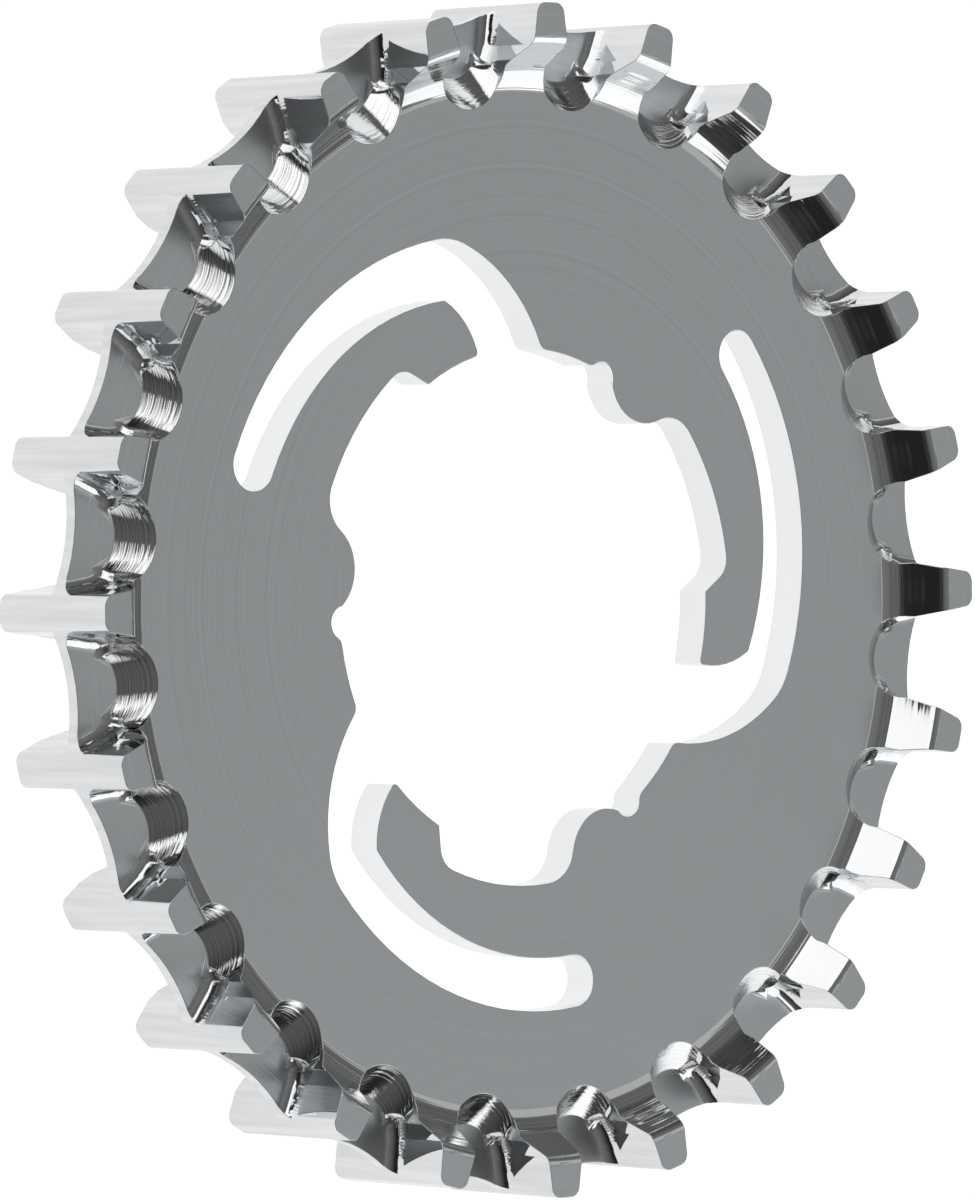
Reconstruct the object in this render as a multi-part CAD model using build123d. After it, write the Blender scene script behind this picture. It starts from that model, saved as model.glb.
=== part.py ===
from build123d import *
import math
import os

# Belt drive sprocket with a rear hub bore, turned and milled from one steel blank.
# Millimetres. The Z axis is the hub axle and z = 0 is the middle of the belt.
# The front face, which carries the plate, looks up. Angles are in degrees about Z,
# and the first tooth stands on +X.

# Teeth
tooth_count = 24
tip_radius = 41.3
tooth_length = 10.8
tip_half_width = 1.3
tip_corner_radius = 0.8
flank_bend_radius = 38.4
flank_bend_half_width = 1.6
knee_radius = 37.3
knee_half_width = 1.98

# Tooth ends are crowned and run down a steep ramp; a shallow apron joins the front ramp to the plate
end_face_radius = 39.1
end_crown_radius = 0.9
ramp_slope = 60
apron_edge_radius = 35.3
apron_slope = 20

# Plate and centre fin, measured back from the front ends of the teeth
plate_depth = 3.25
fin_depth = 4.95
fin_thickness = 0.9
plate_thickness = 2.6

# Fin edge between two teeth
fin_edge_radius = 40.0
fin_hollow_radius = 12.0

# Debris channel in each gap, milled at a slant through the plate edge
channel_radius = 2.95
channel_top_radius = 37.2
channel_foot_radius = 39.4
gap_root_radius = 37.1

# Hub bore: lands, three drive reliefs, three round lobes and three thumb grooves
bore_radius = 17.5
relief_radius = 19.8
relief_start = 0.85
relief_step_slope = 34
relief_step_fillet = 1.8
relief_lobe_fillet = 2.6
lobe_angle = 52.5
lobe_centre_radius = 19.5
lobe_radius = 3.3
groove_angle = 63.9
groove_centre_radius = 17.15
groove_radius = 1.15
groove_fillet = 0.8

# Spiral slots that free the three spring arms
slot_count = 3
slot_centre_angle = 51.5
slot_outer_offset = 4.25
slot_outer_radius = 24.63
slot_inner_offset = 5.1
slot_inner_radius = 20.16
slot_end_angle = 38.9
throat_centre_radius = 16.3
throat_centre_angle = 7.8
throat_radius = 12.66
throat_sweep = 60.0
throat_bend_fillet = 5.0
throat_lip_fillet = 0.8
arm_tip_centre_radius = 18.36
arm_tip_centre_angle = 3.7
arm_tip_radius = 6.2
arm_corner_fillet = 0.35

front_z = tooth_length / 2
back_z = -tooth_length / 2
plate_front_z = front_z - plate_depth
plate_back_z = plate_front_z - plate_thickness
fin_front_z = front_z - fin_depth
fin_back_z = fin_front_z - fin_thickness
tooth_pitch = 360 / tooth_count
beyond = 5.0


def polar(radius, angle):
    return Vector(radius * math.cos(math.radians(angle)), radius * math.sin(math.radians(angle)))


def disc(centre, radius):
    return Pos(centre.X, centre.Y) * Circle(radius)


def sector(start, stop):
    reach = 4 * tip_radius
    return Polygon((0, 0), tuple(polar(reach, start))[:2], tuple(polar(reach, stop))[:2], align=None)


def meeting(centre_a, radius_a, centre_b, radius_b, side):
    """Where two circles cross, on the left (side 1) or right (side -1) of the line from a to b."""
    line = centre_b - centre_a
    gap = line.length
    along = (gap**2 + radius_a**2 - radius_b**2) / (2 * gap)
    across = math.sqrt(radius_a**2 - along**2)
    unit = line.normalized()
    normal = Vector(-unit.Y, unit.X)
    return centre_a + unit * along + normal * (side * across)


def crown_foot(end_z, inward):
    """Where the crown of a tooth end meets the ramp; inward is the Z direction into the tooth."""
    slope = math.radians(ramp_slope)
    along = end_face_radius - end_crown_radius * math.sin(slope)
    return Vector(along, end_z + inward * end_crown_radius * (1 - math.cos(slope)))


def front_profile():
    """The plate edge and the line from it up to the flat front end of a tooth: apron, ramp and crown."""
    crown = crown_foot(front_z, -1)
    edge = Vector(apron_edge_radius, plate_front_z)
    ramp_rise = math.tan(math.radians(ramp_slope))
    apron_rise = math.tan(math.radians(apron_slope))
    reach = (crown.Y - edge.Y - ramp_rise * (crown.X - edge.X)) / (apron_rise - ramp_rise)
    bend = edge + Vector(reach, reach * apron_rise)
    crown_arc = TangentArc((end_face_radius, front_z), crown, tangent=(-1, 0))
    return edge, Curve() + Polyline(edge, bend, crown) + crown_arc


def back_profile():
    """The same on the back, where the ramp runs straight into the plate and a chamfer stands for the crown."""
    crown = crown_foot(back_z, 1)
    edge = Vector(crown.X - (plate_back_z - crown.Y) / math.tan(math.radians(ramp_slope)), plate_back_z)
    return edge, Polyline(edge, crown, (end_face_radius, back_z))


def turned_blank():
    """Disc with a rim as wide as the belt, revolved from its half section."""
    front_edge, front_line = front_profile()
    back_edge, back_line = back_profile()
    rim = Polyline(
        (end_face_radius, front_z),
        (tip_radius, front_z),
        (tip_radius, back_z),
        (end_face_radius, back_z),
    )
    hub = Polyline(back_edge, (0, plate_back_z), (0, plate_front_z), front_edge)
    section = Plane.XZ * make_face(Curve() + front_line + rim + back_line + hub)
    return revolve(section, Axis.Z)


def in_gap(radius, half_width):
    """A tooth outline point, seen in the frame of the gap whose middle lies on +X."""
    angle = math.radians(tooth_pitch / 2)
    along = radius * math.cos(angle) + half_width * math.sin(angle)
    across = radius * math.sin(angle) - half_width * math.cos(angle)
    return Vector(along, across)


def gap_outline(root_radius):
    """The space between two teeth down to a given root, open beyond the tips."""
    tip = in_gap(tip_radius + beyond, tip_half_width - tip_corner_radius)
    crest = in_gap(tip_radius, tip_half_width - tip_corner_radius)
    shoulder = in_gap(tip_radius - tip_corner_radius, tip_half_width)
    corner_drop = tip_corner_radius * (1 - math.sqrt(0.5))
    corner = in_gap(tip_radius - corner_drop, tip_half_width - corner_drop)
    bend = in_gap(flank_bend_radius, flank_bend_half_width)
    knee = in_gap(knee_radius, knee_half_width)
    root = Vector(root_radius, knee.Y)
    upper = Line(tip, crest) + ThreePointArc(crest, corner, shoulder)
    upper += Polyline(shoulder, bend, knee, root)
    lower = mirror(upper, Plane.XZ)
    root_line = Line(root, (root.X, -root.Y))
    mouth = Line(tip, (tip.X, -tip.Y))
    return make_face(Curve() + upper + lower + root_line + mouth)


def gap_cutter():
    """Everything that is cut away between two teeth, with the gap's middle on +X."""
    outline = gap_outline(gap_root_radius)
    open_root = gap_outline(channel_top_radius) + disc(Vector(channel_top_radius, 0), channel_radius)
    above = Pos(0, 0, plate_front_z) * extrude(open_root, amount=plate_depth + beyond)
    below = Pos(0, 0, fin_back_z) * extrude(open_root, amount=-(tooth_length + beyond))
    pocket = Pos(0, 0, fin_front_z) * extrude(outline, amount=plate_front_z - fin_front_z)
    slant = Vector(channel_top_radius - channel_foot_radius, 0, plate_front_z - fin_front_z)
    channel = Pos(0, 0, fin_front_z) * extrude(
        disc(Vector(channel_foot_radius, 0), channel_radius), amount=slant.length, dir=slant
    )
    front = pocket + channel
    hollow = disc(Vector(fin_edge_radius + fin_hollow_radius, 0), fin_hollow_radius) & outline
    edge = extrude(hollow, amount=tooth_length, both=True)
    return above + below + front + edge


def slot_opening():
    """One spiral slot with its throat, which opens into the bore, and its corners with their fillets."""
    outer_centre = polar(slot_outer_offset, slot_centre_angle)
    inner_centre = polar(slot_inner_offset, slot_centre_angle)
    throat_centre = polar(throat_centre_radius, throat_centre_angle)
    tip_centre = polar(arm_tip_centre_radius, arm_tip_centre_angle)
    outer = disc(outer_centre, slot_outer_radius)
    bend = meeting(outer_centre, slot_outer_radius, throat_centre, throat_radius, -1)
    arm_corner = meeting(inner_centre, slot_inner_radius, tip_centre, arm_tip_radius, -1)
    arm_lip = meeting(Vector(0, 0), bore_radius, tip_centre, arm_tip_radius, -1)
    throat_lip = meeting(Vector(0, 0), bore_radius, throat_centre, throat_radius, -1)
    throat_angle = math.degrees(math.atan2(arm_corner.Y, arm_corner.X))
    crescent = outer - disc(inner_centre, slot_inner_radius)
    crescent = crescent & sector(throat_angle, slot_end_angle)
    end_place = slot_end_place(outer_centre, inner_centre)
    end_radius = slot_outer_radius - (end_place - outer_centre).length
    throat = disc(throat_centre, throat_radius) - disc(tip_centre, arm_tip_radius)
    throat = (throat & outer) & sector(throat_angle - throat_sweep, throat_angle)
    corners = [
        (bend, throat_bend_fillet),
        (arm_corner, arm_corner_fillet),
        (arm_lip, arm_corner_fillet),
        (throat_lip, throat_lip_fillet),
    ]
    return crescent + disc(end_place, end_radius) + throat, corners


def slot_end_place(outer_centre, inner_centre):
    """The point at the slot's end angle that is as far from its outer wall as from its inner one."""
    low, high = slot_inner_radius, slot_outer_radius + slot_outer_offset
    for _ in range(40):
        reach = (low + high) / 2
        place = polar(reach, slot_end_angle)
        outer_gap = slot_outer_radius - (place - outer_centre).length
        inner_gap = (place - inner_centre).length - slot_inner_radius
        low, high = (reach, high) if outer_gap > inner_gap else (low, reach)
    return place


def relief_opening():
    """One drive relief beside its lobe, and its step corner with its fillet."""
    step = polar(bore_radius, relief_start)
    heading = polar(1, relief_start + relief_step_slope)
    shift = step.dot(heading)
    run = math.sqrt(shift**2 - bore_radius**2 + relief_radius**2) - shift
    corner = step + heading * run
    inside = step - heading * run
    far = step + heading * (3 * run)
    wide = polar(2 * relief_radius, lobe_angle / 2)
    end = polar(2 * relief_radius, lobe_angle)
    span = Polygon(*[(place.X, place.Y) for place in (inside, far, wide, end)], (0, 0), align=None)
    return Circle(relief_radius) & span, [(corner, relief_step_fillet)]


def opening():
    """Bore, reliefs, lobes, grooves and slots as one flat outline."""
    slot, slot_corners = slot_opening()
    relief, relief_corners = relief_opening()
    lobe_centre = polar(lobe_centre_radius, lobe_angle)
    groove_centre = polar(groove_centre_radius, groove_angle)
    lobe_corner = meeting(Vector(0, 0), relief_radius, lobe_centre, lobe_radius, -1)
    land_corner = meeting(Vector(0, 0), bore_radius, groove_centre, groove_radius, 1)
    corners = slot_corners + relief_corners
    corners += [(lobe_corner, relief_lobe_fillet), (land_corner, groove_fillet)]
    turns = [index * 360 / slot_count for index in range(slot_count)]
    face = Circle(bore_radius) + [Rot(0, 0, turn) * relief for turn in turns]
    face -= [Rot(0, 0, turn) * disc(lobe_centre, lobe_radius) for turn in turns]
    face += [Rot(0, 0, turn) * disc(groove_centre, groove_radius) for turn in turns]
    face += [Rot(0, 0, turn) * slot for turn in turns]
    for place, radius in corners:
        for turn in turns:
            corner = face.vertices().sort_by_distance(place.rotate(Axis.Z, turn))[0]
            face = fillet(corner, radius)
    return face


def sprocket():
    blank = turned_blank()
    plate = extrude(opening(), amount=tooth_length, both=True)
    gaps = PolarLocations(0, tooth_count, start_angle=tooth_pitch / 2)
    cutter = gap_cutter()
    body = blank - plate
    body -= [place * cutter for place in gaps]
    return body


body = sprocket()
os.makedirs("parts", exist_ok=True)
export_step(body, "parts/sprocket.step")
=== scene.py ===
# Belt drive sprocket on a white table: bright milled teeth round a satin plate
import bpy, bmesh, math
from mathutils import Matrix, Vector
from mathutils.geometry import delaunay_2d_cdt


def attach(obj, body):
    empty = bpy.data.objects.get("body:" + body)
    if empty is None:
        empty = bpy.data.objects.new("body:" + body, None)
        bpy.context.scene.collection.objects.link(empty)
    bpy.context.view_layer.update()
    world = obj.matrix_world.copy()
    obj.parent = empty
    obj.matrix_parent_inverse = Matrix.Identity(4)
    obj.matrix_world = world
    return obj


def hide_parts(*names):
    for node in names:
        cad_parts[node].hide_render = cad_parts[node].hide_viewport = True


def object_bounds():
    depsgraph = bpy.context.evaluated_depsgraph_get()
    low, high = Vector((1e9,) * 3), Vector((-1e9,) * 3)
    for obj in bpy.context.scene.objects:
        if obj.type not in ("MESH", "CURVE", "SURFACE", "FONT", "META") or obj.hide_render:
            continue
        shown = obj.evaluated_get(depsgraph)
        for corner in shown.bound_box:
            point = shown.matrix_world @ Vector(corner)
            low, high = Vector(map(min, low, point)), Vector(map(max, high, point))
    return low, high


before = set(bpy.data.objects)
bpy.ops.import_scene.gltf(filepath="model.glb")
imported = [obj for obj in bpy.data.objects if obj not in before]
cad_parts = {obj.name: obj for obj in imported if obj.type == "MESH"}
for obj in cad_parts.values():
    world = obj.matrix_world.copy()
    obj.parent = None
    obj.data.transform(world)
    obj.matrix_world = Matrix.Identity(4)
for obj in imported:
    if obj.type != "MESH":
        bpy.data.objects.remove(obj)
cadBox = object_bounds()
print("frame loaded", cadBox)


# Small helpers
def link(obj):
    bpy.context.scene.collection.objects.link(obj)
    return obj


def newMaterial(name):
    mat = bpy.data.materials.new(name)
    mat.use_nodes = True
    return mat, mat.node_tree, mat.node_tree.nodes["Principled BSDF"]


def addNode(tree, kind, **values):
    node = tree.nodes.new(kind)
    for key, value in values.items():
        setattr(node, key, value)
    return node


# Camera, from the photograph's viewing angle
cameraSet = {
    "place": (0.2220056, 0.3633443, 0.4514316),
    "right": (-0.375703, -0.624494, 0.684729),
    "down": (-0.855226, 0.518245, 0.003402),
    "look": (-0.356982, -0.584320, -0.728790),
    "lens": 329.54,
    "sensor": 36.0,
}


def makeCamera(s):
    right, down, look = Vector(s["right"]), Vector(s["down"]), Vector(s["look"])
    data = bpy.data.cameras.new("photoCamera")
    data.sensor_fit = "HORIZONTAL"
    data.sensor_width = s["sensor"]
    data.lens = s["lens"]
    data.clip_end = 20
    cam = link(bpy.data.objects.new("photoCamera", data))
    cam.matrix_world = Matrix.Translation(s["place"]) @ Matrix((right, -down, -look)).transposed().to_4x4()
    bpy.context.scene.camera = cam


makeCamera(cameraSet)
print("camera placed")

# Sizes of the CAD model that tell its surfaces apart, in metres and degrees
plate = {
    "frontZ": 0.00215,       # front face of the plate
    "backZ": -0.00045,       # back face of the plate
    "apronRadius": 0.0353,   # where the front face turns up into the teeth
    "rampRadius": 0.0374,    # from here the tooth ends rise at their full slope
    "crownRadius": 0.0383,   # from here they round over
    "endRadius": 0.0391,     # to their flat ends
    "apronSlope": 12,
    "rampSlope": 60,
    "wallRadius": 0.030,     # bore and slot walls all lie inside this
    "channelRadius": 0.0400, # the milled channels all lie inside this
    "channelDepth": 0.0025,  # and above this depth under the plate's back face
    "sharpAngle": 18,        # edges with a larger angle stay sharp
    "flatArea": 1.2e-6,      # faces larger than this keep their own normal
}


# Shared effects
def fineLinesGroup():
    tree = bpy.data.node_groups.new("toolLines", "ShaderNodeTree")
    face = tree.interface
    face.new_socket("Along", in_out="INPUT", socket_type="NodeSocketFloat")
    face.new_socket("Lines per mm", in_out="INPUT", socket_type="NodeSocketFloat")
    face.new_socket("Depth", in_out="INPUT", socket_type="NodeSocketFloat")
    face.new_socket("Normal", in_out="INPUT", socket_type="NodeSocketVector")
    face.new_socket("Value", in_out="OUTPUT", socket_type="NodeSocketFloat")
    face.new_socket("Normal", in_out="OUTPUT", socket_type="NodeSocketVector")
    start = addNode(tree, "NodeGroupInput")
    end = addNode(tree, "NodeGroupOutput")
    scale = addNode(tree, "ShaderNodeMath", operation="MULTIPLY")
    perMetre = addNode(tree, "ShaderNodeMath", operation="MULTIPLY")
    perMetre.inputs[1].default_value = 1000
    noise = addNode(tree, "ShaderNodeTexNoise", noise_dimensions="1D")
    noise.inputs["Scale"].default_value = 1
    noise.inputs["Detail"].default_value = 3
    noise.inputs["Roughness"].default_value = 0.6
    bump = addNode(tree, "ShaderNodeBump")
    bump.inputs["Distance"].default_value = 0.00003
    tree.links.new(start.outputs["Along"], perMetre.inputs[0])
    tree.links.new(perMetre.outputs[0], scale.inputs[0])
    tree.links.new(start.outputs["Lines per mm"], scale.inputs[1])
    tree.links.new(scale.outputs[0], noise.inputs["W"])
    tree.links.new(noise.outputs["Fac"], bump.inputs["Height"])
    tree.links.new(start.outputs["Depth"], bump.inputs["Strength"])
    tree.links.new(start.outputs["Normal"], bump.inputs["Normal"])
    tree.links.new(noise.outputs["Fac"], end.inputs["Value"])
    tree.links.new(bump.outputs["Normal"], end.inputs["Normal"])
    return tree


toolLines = fineLinesGroup()
edgeRadius = 0.00010


def placeLines(tree, perMm, depth):
    group = addNode(tree, "ShaderNodeGroup", node_tree=toolLines)
    group.inputs["Lines per mm"].default_value = perMm
    group.inputs["Depth"].default_value = depth
    roundEdges(tree, group)
    return group


def roundEdges(tree, bump):
    edge = addNode(tree, "ShaderNodeBevel", samples=6)
    edge.inputs["Radius"].default_value = edgeRadius
    tree.links.new(edge.outputs["Normal"], bump.inputs["Normal"])


def spread(tree, source, low, high, target, fromLow=0.3, fromHigh=0.7):
    ramp = addNode(tree, "ShaderNodeMapRange")
    for name, value in (("From Min", fromLow), ("From Max", fromHigh), ("To Min", low), ("To Max", high)):
        ramp.inputs[name].default_value = value
    tree.links.new(source, ramp.inputs["Value"])
    tree.links.new(ramp.outputs["Result"], target)


# Finishes
turned = {"color": (0.61, 0.635, 0.65, 1), "roughness": (0.31, 0.39), "perMm": 3.0, "depth": 0.55,
          "markedSide": (0.52, 0.85, 0), "otherSide": 0.12}
rim = {"color": (0.80, 0.81, 0.82, 1), "roughness": (0.04, 0.12), "perMm": 1.0, "depth": 3.2,
       "markedSide": (0.52, 0.85, 0), "otherSide": 0.8}
bright = {"dull": (0.73, 0.74, 0.75, 1), "clear": (0.84, 0.85, 0.86, 1), "grain": (1500, 1500, 90),
          "roughness": (0.02, 0.05), "wave": 700, "depth": 0.03}
milled = {"color": (0.82, 0.83, 0.835, 1), "roughness": (0.04, 0.10), "perMm": 8.0, "depth": 0.7}
wall = {"color": (0.90, 0.91, 0.92, 1), "roughness": (0.10, 0.18), "perMm": 4.0, "depth": 0.1}


def makeTurned(name, s):
    mat, tree, bsdf = newMaterial(name)
    bsdf.inputs["Base Color"].default_value = s["color"]
    bsdf.inputs["Metallic"].default_value = 1.0
    where = addNode(tree, "ShaderNodeTexCoord")
    flat = addNode(tree, "ShaderNodeVectorMath", operation="MULTIPLY")
    flat.inputs[1].default_value = (1, 1, 0)
    radius = addNode(tree, "ShaderNodeVectorMath", operation="LENGTH")
    lines = placeLines(tree, s["perMm"], s["depth"])
    tree.links.new(where.outputs["Object"], flat.inputs[0])
    tree.links.new(flat.outputs[0], radius.inputs[0])
    side = addNode(tree, "ShaderNodeVectorMath", operation="DOT_PRODUCT")
    side.inputs[1].default_value = s["markedSide"]
    tree.links.new(where.outputs["Object"], side.inputs[0])
    least = s["depth"] * s["otherSide"]
    spread(tree, side.outputs["Value"], least, s["depth"], lines.inputs["Depth"], 0.0, 0.03)
    tree.links.new(radius.outputs["Value"], lines.inputs["Along"])
    spread(tree, lines.outputs["Value"], *s["roughness"], bsdf.inputs["Roughness"])
    tree.links.new(lines.outputs["Normal"], bsdf.inputs["Normal"])
    return mat


def makeBrightTooth(s):
    mat, tree, bsdf = newMaterial("brightTooth")
    bsdf.inputs["Metallic"].default_value = 1.0
    where = addNode(tree, "ShaderNodeTexCoord")
    stretch = addNode(tree, "ShaderNodeVectorMath", operation="MULTIPLY")
    stretch.inputs[1].default_value = s["grain"]
    grain = addNode(tree, "ShaderNodeTexNoise")
    grain.inputs["Scale"].default_value = 1
    color = addNode(tree, "ShaderNodeMix", data_type="RGBA")
    color.inputs["A"].default_value = s["dull"]
    color.inputs["B"].default_value = s["clear"]
    tree.links.new(where.outputs["Object"], stretch.inputs[0])
    tree.links.new(stretch.outputs[0], grain.inputs["Vector"])
    spread(tree, grain.outputs["Fac"], 0, 1, color.inputs["Factor"])
    tree.links.new(color.outputs["Result"], bsdf.inputs["Base Color"])
    noise = addNode(tree, "ShaderNodeTexNoise")
    noise.inputs["Scale"].default_value = s["wave"]
    noise.inputs["Detail"].default_value = 2
    bump = addNode(tree, "ShaderNodeBump")
    bump.inputs["Strength"].default_value = s["depth"]
    bump.inputs["Distance"].default_value = 0.0001
    roundEdges(tree, bump)
    tree.links.new(where.outputs["Object"], noise.inputs["Vector"])
    tree.links.new(noise.outputs["Fac"], bump.inputs["Height"])
    tree.links.new(bump.outputs["Normal"], bsdf.inputs["Normal"])
    spread(tree, noise.outputs["Fac"], *s["roughness"], bsdf.inputs["Roughness"])
    return mat


def makeHeightLined(name, s):
    mat, tree, bsdf = newMaterial(name)
    bsdf.inputs["Base Color"].default_value = s["color"]
    bsdf.inputs["Metallic"].default_value = 1.0
    where = addNode(tree, "ShaderNodeTexCoord")
    split = addNode(tree, "ShaderNodeSeparateXYZ")
    lines = placeLines(tree, s["perMm"], s["depth"])
    tree.links.new(where.outputs["Object"], split.inputs[0])
    tree.links.new(split.outputs["Z"], lines.inputs["Along"])
    spread(tree, lines.outputs["Value"], *s["roughness"], bsdf.inputs["Roughness"])
    tree.links.new(lines.outputs["Normal"], bsdf.inputs["Normal"])
    return mat


finishes = {
    "turnedFace": makeTurned("turnedFace", turned),
    "brightTooth": makeBrightTooth(bright),
    "cutWall": makeHeightLined("cutWall", wall),
    "milledChannel": makeHeightLined("milledChannel", milled),
    "turnedRim": makeTurned("turnedRim", rim),
}
finishIndex = {name: index for index, name in enumerate(finishes)}
print("finishes made")


# The sprocket: a merged copy of the CAD mesh with its surfaces told apart by their normals
leaning = 0.3
steep = 0.5
nearlyFlat = 0.99
fullyFlat = 0.998


def surfaceOf(centre, normal):
    radius = math.hypot(centre.x, centre.y)
    level = abs(normal.z)
    if radius < plate["wallRadius"] and level < steep:
        return "cutWall"
    if level > nearlyFlat:
        return "turnedFace"
    outward = (centre.x * normal.x + centre.y * normal.y) / radius
    inChannel = plate["backZ"] - plate["channelDepth"] < centre.z < plate["frontZ"]
    if radius < plate["channelRadius"] and outward > leaning and inChannel:
        return "milledChannel"
    if outward < -leaning and level > leaning:
        return "turnedRim"
    return "brightTooth"


def slopeAt(radius):
    s = plate
    if radius < s["rampRadius"]:
        share = max(0, (radius - s["apronRadius"]) / (s["rampRadius"] - s["apronRadius"]))
        return s["apronSlope"] + (s["rampSlope"] - s["apronSlope"]) * share
    share = max(0, (radius - s["crownRadius"]) / (s["endRadius"] - s["crownRadius"]))
    return s["rampSlope"] * (1 - min(1, share))


def loopNormal(place, face, isBroad):
    # ramp and apron get their exact normal, flat faces their own and the rest, marked by zero, a smooth one
    radius = math.hypot(place.x, place.y)
    inward = Vector((-place.x / radius, -place.y / radius, 0))
    level = abs(face.normal.z)
    if leaning < level < fullyFlat and face.normal.dot(inward) > leaning:
        slope = math.radians(slopeAt(radius))
        rise = math.copysign(math.cos(slope), face.normal.z)
        return inward * math.sin(slope) + Vector((0, 0, rise))
    onWall = radius < plate["wallRadius"] and level < steep
    if level > fullyFlat or (isBroad and not onWall):
        return face.normal.copy()
    return Vector((0, 0, 0))


# A tooth's flanks run down into the fin in a wide curve, which ends at the milled channel
foot = {
    "finZ": 0.00045,         # front face of the fin between the teeth
    "curve": 0.0011,         # radius of the curve
    "steps": 6,              # rows of points in the curve
    "spacing": 0.00025,      # of the points in a row
    "channelReach": 0.0005,  # nearer to the channel than this the curve fades out
    "margin": 0.00004,       # between points, and from them to the floor's open edges
    "levelError": 2e-6,
    "rowError": 1e-6,
}


def isFloor(face):
    level = all(abs(vert.co.z - foot["finZ"]) < foot["levelError"] for vert in face.verts)
    return level and face.normal.z > fullyFlat


def sortEdges(face):
    # the floor's edges as flat lines: those along a wall, along the channel and in the open
    lines = {"wall": [], "channel": [], "open": []}
    for loop in face.loops:
        other = [near for near in loop.edge.link_faces if near is not face][0]
        kind = "wall"
        if loop.edge.calc_face_angle_signed(0) > 0:
            kind = "open"
        elif abs(other.normal.z) > leaning:
            kind = "channel"
        lines[kind].append((loop.vert.co.xy, loop.link_loop_next.vert.co.xy))
    return lines


def nearest(point, lines):
    # distance to the nearest line
    best = math.inf
    for start, end in lines:
        along = end - start
        share = (point - start).dot(along) / along.length_squared
        best = min(best, (point - start.lerp(end, max(0, min(1, share)))).length)
    return best


def isInside(point, outline):
    # counts how often a line from the point crosses the outline
    inside = False
    for a, b in zip(outline, outline[1:] + outline[:1]):
        if (a.y > point.y) != (b.y > point.y):
            if point.x < a.x + (b.x - a.x) * (point.y - a.y) / (b.y - a.y):
                inside = not inside
    return inside


def footHeight(point, lines):
    # a quarter circle that rises to the walls and fades out at the channel
    lean = max(0, 1 - nearest(point, lines["wall"]) / foot["curve"])
    fade = min(1, nearest(point, lines["channel"]) / foot["channelReach"])
    return foot["curve"] * (1 - math.sqrt(1 - lean ** 2)) * fade ** 2 * (3 - 2 * fade)


def curvePoints(lines, outline):
    # points along lines that keep one distance from the walls
    points = {}
    for start, end in lines["wall"]:
        along = end - start
        inward = Vector((-along.y, along.x)).normalized()
        count = max(1, round(along.length / foot["spacing"]))
        for step in range(1, foot["steps"] + 1):
            away = foot["curve"] * (1 - math.cos(math.pi / 2 * step / foot["steps"]))
            for index in range(count):
                point = start + along * ((index + 0.5) / count) + inward * away
                edges = min(nearest(point, lines["channel"]), nearest(point, lines["open"]))
                free = nearest(point, lines["wall"]) > away - foot["rowError"]
                if free and edges > foot["margin"] and isInside(point, outline):
                    key = tuple(round(value / foot["margin"]) for value in point)
                    points.setdefault(key, point)
    return list(points.values())


def splitEdge(edge, length):
    vert = edge.verts[0]
    for left in range(math.ceil(edge.calc_length() / length), 1, -1):
        vert = bmesh.utils.edge_split(edge, vert, 1 / left)[1]


def curveFloor(bm, face, curved):
    # the flat floor is taken away and a curved one with more points put in its place
    lines = sortEdges(face)
    for edge in list(face.edges):
        splitEdge(edge, foot["spacing"])
    verts = [loop.vert for loop in face.loops]
    outline = [vert.co.xy for vert in verts]
    points = outline + curvePoints(lines, outline)
    millimetres = [point * 1000 for point in points]
    cut = delaunay_2d_cdt(millimetres, [], [list(range(len(outline)))], 1, 1e-5)
    heights = [footHeight(point, lines) for point in points]
    bmesh.ops.delete(bm, geom=[face], context="FACES_ONLY")
    for vert, height in zip(verts, heights):
        vert.co.z += height
    made = []
    for origin in cut[3]:
        if origin[0] < len(verts):
            made.append(verts[origin[0]])
        else:
            point = points[origin[0]]
            made.append(bm.verts.new((point.x, point.y, foot["finZ"] + heights[origin[0]])))
    for corners in cut[2]:
        curved.add(bm.faces.new([made[corner] for corner in corners]))


def curveFeet(bm):
    floors = [face for face in bm.faces if isFloor(face)]
    print("fin floors", len(floors))
    curved = set()
    for face in floors:
        curveFloor(bm, face, curved)
    bmesh.ops.triangulate(bm, faces=[face for face in bm.faces if len(face.verts) > 4])
    bm.normal_update()
    return curved


def makeSprocket():
    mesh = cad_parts["sprocket"].data.copy()
    mesh.name = "sprocketBody"
    mesh.materials.clear()
    for mat in finishes.values():
        mesh.materials.append(mat)
    bm = bmesh.new()
    bm.from_mesh(mesh)
    bmesh.ops.remove_doubles(bm, verts=bm.verts, dist=1e-6)
    bmesh.ops.dissolve_limit(bm, angle_limit=math.radians(0.2), verts=bm.verts, edges=bm.edges)
    broad = bm.faces.layers.int.new("broad")
    for face in bm.faces:
        face[broad] = face.calc_area() > plate["flatArea"]
    curved = curveFeet(bm)
    for face in bm.faces:
        face.smooth = True
        face.material_index = finishIndex[surfaceOf(face.calc_center_median(), face.normal)]
    for edge in bm.edges:
        if len(edge.link_faces) == 2:
            inFoot = all(face in curved for face in edge.link_faces)
            edge.smooth = inFoot or edge.calc_face_angle(0) < math.radians(plate["sharpAngle"])
    broadFaces = [bool(face[broad]) for face in bm.faces]
    bm.faces.layers.int.remove(broad)
    bm.to_mesh(mesh)
    bm.free()
    normals = []
    for face, isBroad in zip(mesh.polygons, broadFaces):
        for index in face.vertices:
            normals.append(loopNormal(mesh.vertices[index].co, face, isBroad))
    mesh.normals_split_custom_set(normals)
    return link(bpy.data.objects.new("sprocketBody", mesh))


sprocket = makeSprocket()
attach(sprocket, "root")
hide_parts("sprocket")
print("sprocket dressed")

# White table: it shows white to the camera and in the metal, and its paint keeps the shadow
table = {"size": 6.0, "paint": (0.32, 0.32, 0.32, 1), "glow": 0.96, "mirrored": 0.80}


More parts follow.
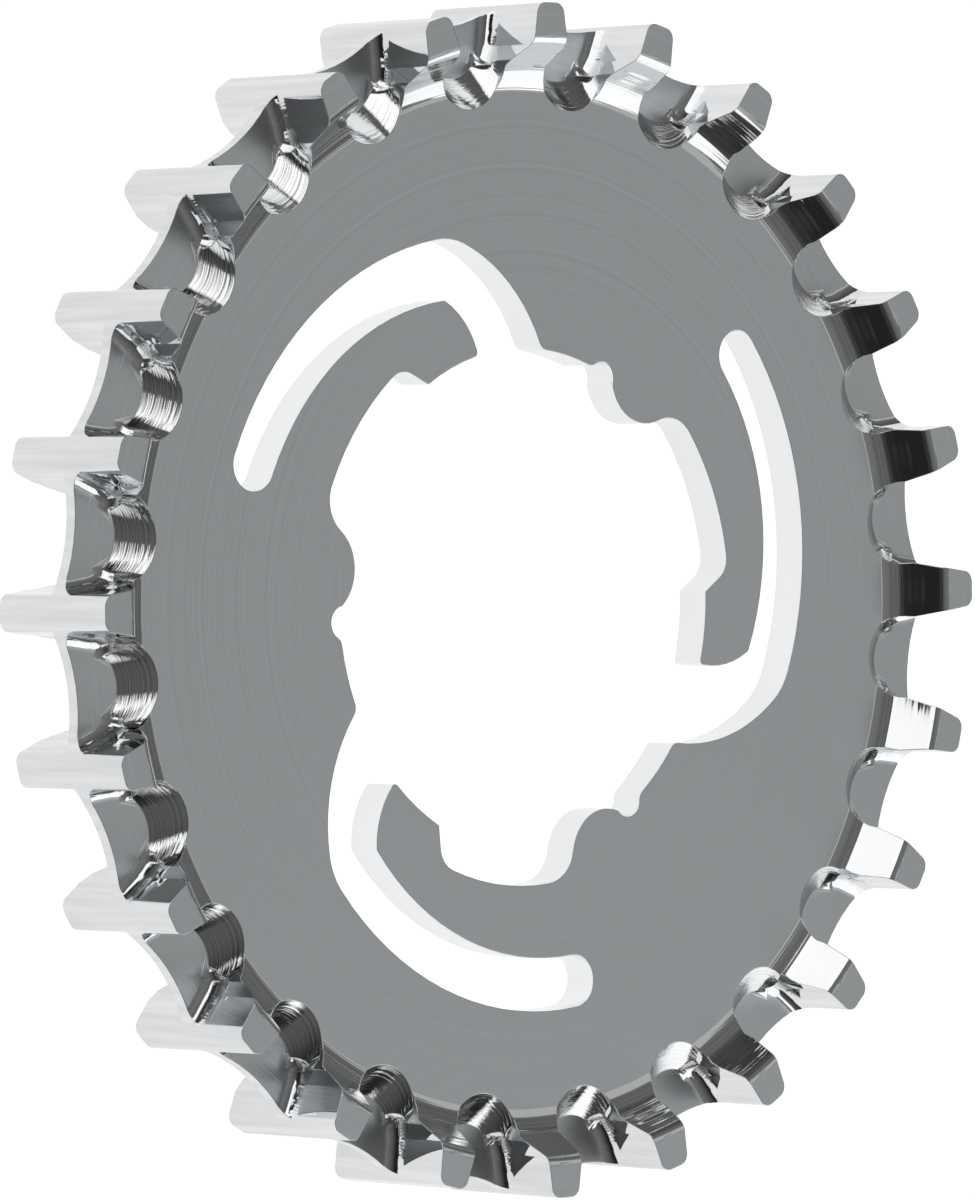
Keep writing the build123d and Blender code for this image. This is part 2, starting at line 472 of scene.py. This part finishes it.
def makeTable(s):
    half = s["size"] / 2
    z = cadBox[0][2]
    mesh = bpy.data.meshes.new("table")
    corners = [(-half, -half, z), (half, -half, z), (half, half, z), (-half, half, z)]
    mesh.from_pydata(corners, [], [(0, 1, 2, 3)])
    obj = link(bpy.data.objects.new("table", mesh))
    mat, tree, bsdf = newMaterial("tableTop")
    bsdf.inputs["Base Color"].default_value = s["paint"]
    bsdf.inputs["Roughness"].default_value = 0.6
    bsdf.inputs["Specular IOR Level"].default_value = 0.2
    path = addNode(tree, "ShaderNodeLightPath")
    mirrored = addNode(tree, "ShaderNodeMath", operation="MULTIPLY")
    mirrored.inputs[1].default_value = s["mirrored"] / s["glow"]
    seen = addNode(tree, "ShaderNodeMath", operation="MAXIMUM")
    glow = addNode(tree, "ShaderNodeMath", operation="MULTIPLY")
    glow.inputs[1].default_value = s["glow"]
    tree.links.new(path.outputs["Is Glossy Ray"], mirrored.inputs[0])
    tree.links.new(path.outputs["Is Camera Ray"], seen.inputs[0])
    tree.links.new(mirrored.outputs[0], seen.inputs[1])
    tree.links.new(seen.outputs[0], glow.inputs[0])
    bsdf.inputs["Emission Color"].default_value = (1, 1, 1, 1)
    mat.cycles.emission_sampling = "NONE"  # it is seen, but lights nothing
    tree.links.new(glow.outputs[0], bsdf.inputs["Emission Strength"])
    mesh.materials.append(mat)


makeTable(table)
print("table set")

# Studio: soft boxes placed round the part by azimuth and elevation, in degrees
softBoxes = {
    "rightBox": {"azimuth": 8, "elevation": 22, "width": 58, "height": 56, "level": 1.15},
    "leftBox": {"azimuth": -171, "elevation": 16, "width": 46, "height": 60, "level": 1.1},
    "topBox": {"azimuth": -121, "elevation": 47, "width": 64, "height": 30, "level": 0.30},
}
boxDistance = 1.0


def aim(azimuth, elevation):
    a, e = math.radians(azimuth), math.radians(elevation)
    return Vector((math.cos(a) * math.cos(e), math.sin(a) * math.cos(e), math.sin(e)))


def makeSoftBox(name, s):
    light = bpy.data.lights.new(name, "AREA")
    light.shape = "RECTANGLE"
    light.size = 2 * boxDistance * math.tan(math.radians(s["width"] / 2))
    light.size_y = 2 * boxDistance * math.tan(math.radians(s["height"] / 2))
    light.energy = s["level"] * math.pi * light.size * light.size_y
    obj = link(bpy.data.objects.new(name, light))
    heading = aim(s["azimuth"], s["elevation"])
    obj.location = heading * boxDistance
    obj.rotation_euler = heading.to_track_quat("Z", "Y").to_euler()
    obj.visible_camera = False


for name, values in softBoxes.items():
    makeSoftBox(name, values)


# The room round the boxes is dark on one side and grey overhead, and white to the camera
room = {"greySide": (-0.20, -0.45, 1.00), "dark": 0.018, "grey": 0.19}


def makeRoom(s):
    world = bpy.data.worlds.new("studio")
    world.use_nodes = True
    tree = world.node_tree
    out = tree.nodes["World Output"]
    back = tree.nodes["Background"]
    white = addNode(tree, "ShaderNodeBackground")
    white.inputs["Color"].default_value = (1, 1, 1, 1)
    path = addNode(tree, "ShaderNodeLightPath")
    mix = addNode(tree, "ShaderNodeMixShader")
    where = addNode(tree, "ShaderNodeTexCoord")
    dot = addNode(tree, "ShaderNodeVectorMath", operation="DOT_PRODUCT")
    dot.inputs[1].default_value = Vector(s["greySide"]).normalized()
    level = addNode(tree, "ShaderNodeMapRange")
    level.inputs["From Min"].default_value = 0
    level.inputs["From Max"].default_value = 1
    level.inputs["To Min"].default_value = s["dark"]
    level.inputs["To Max"].default_value = s["grey"]
    tree.links.new(where.outputs["Generated"], dot.inputs[0])
    tree.links.new(dot.outputs["Value"], level.inputs["Value"])
    tree.links.new(level.outputs["Result"], back.inputs["Strength"])
    back.inputs["Color"].default_value = (1, 1, 1, 1)
    tree.links.new(path.outputs["Is Camera Ray"], mix.inputs[0])
    tree.links.new(back.outputs[0], mix.inputs[1])
    tree.links.new(white.outputs[0], mix.inputs[2])
    tree.links.new(mix.outputs[0], out.inputs["Surface"])
    bpy.context.scene.world = world


makeRoom(room)
print("studio lit")

bpy.context.scene.view_settings.view_transform = "Standard"
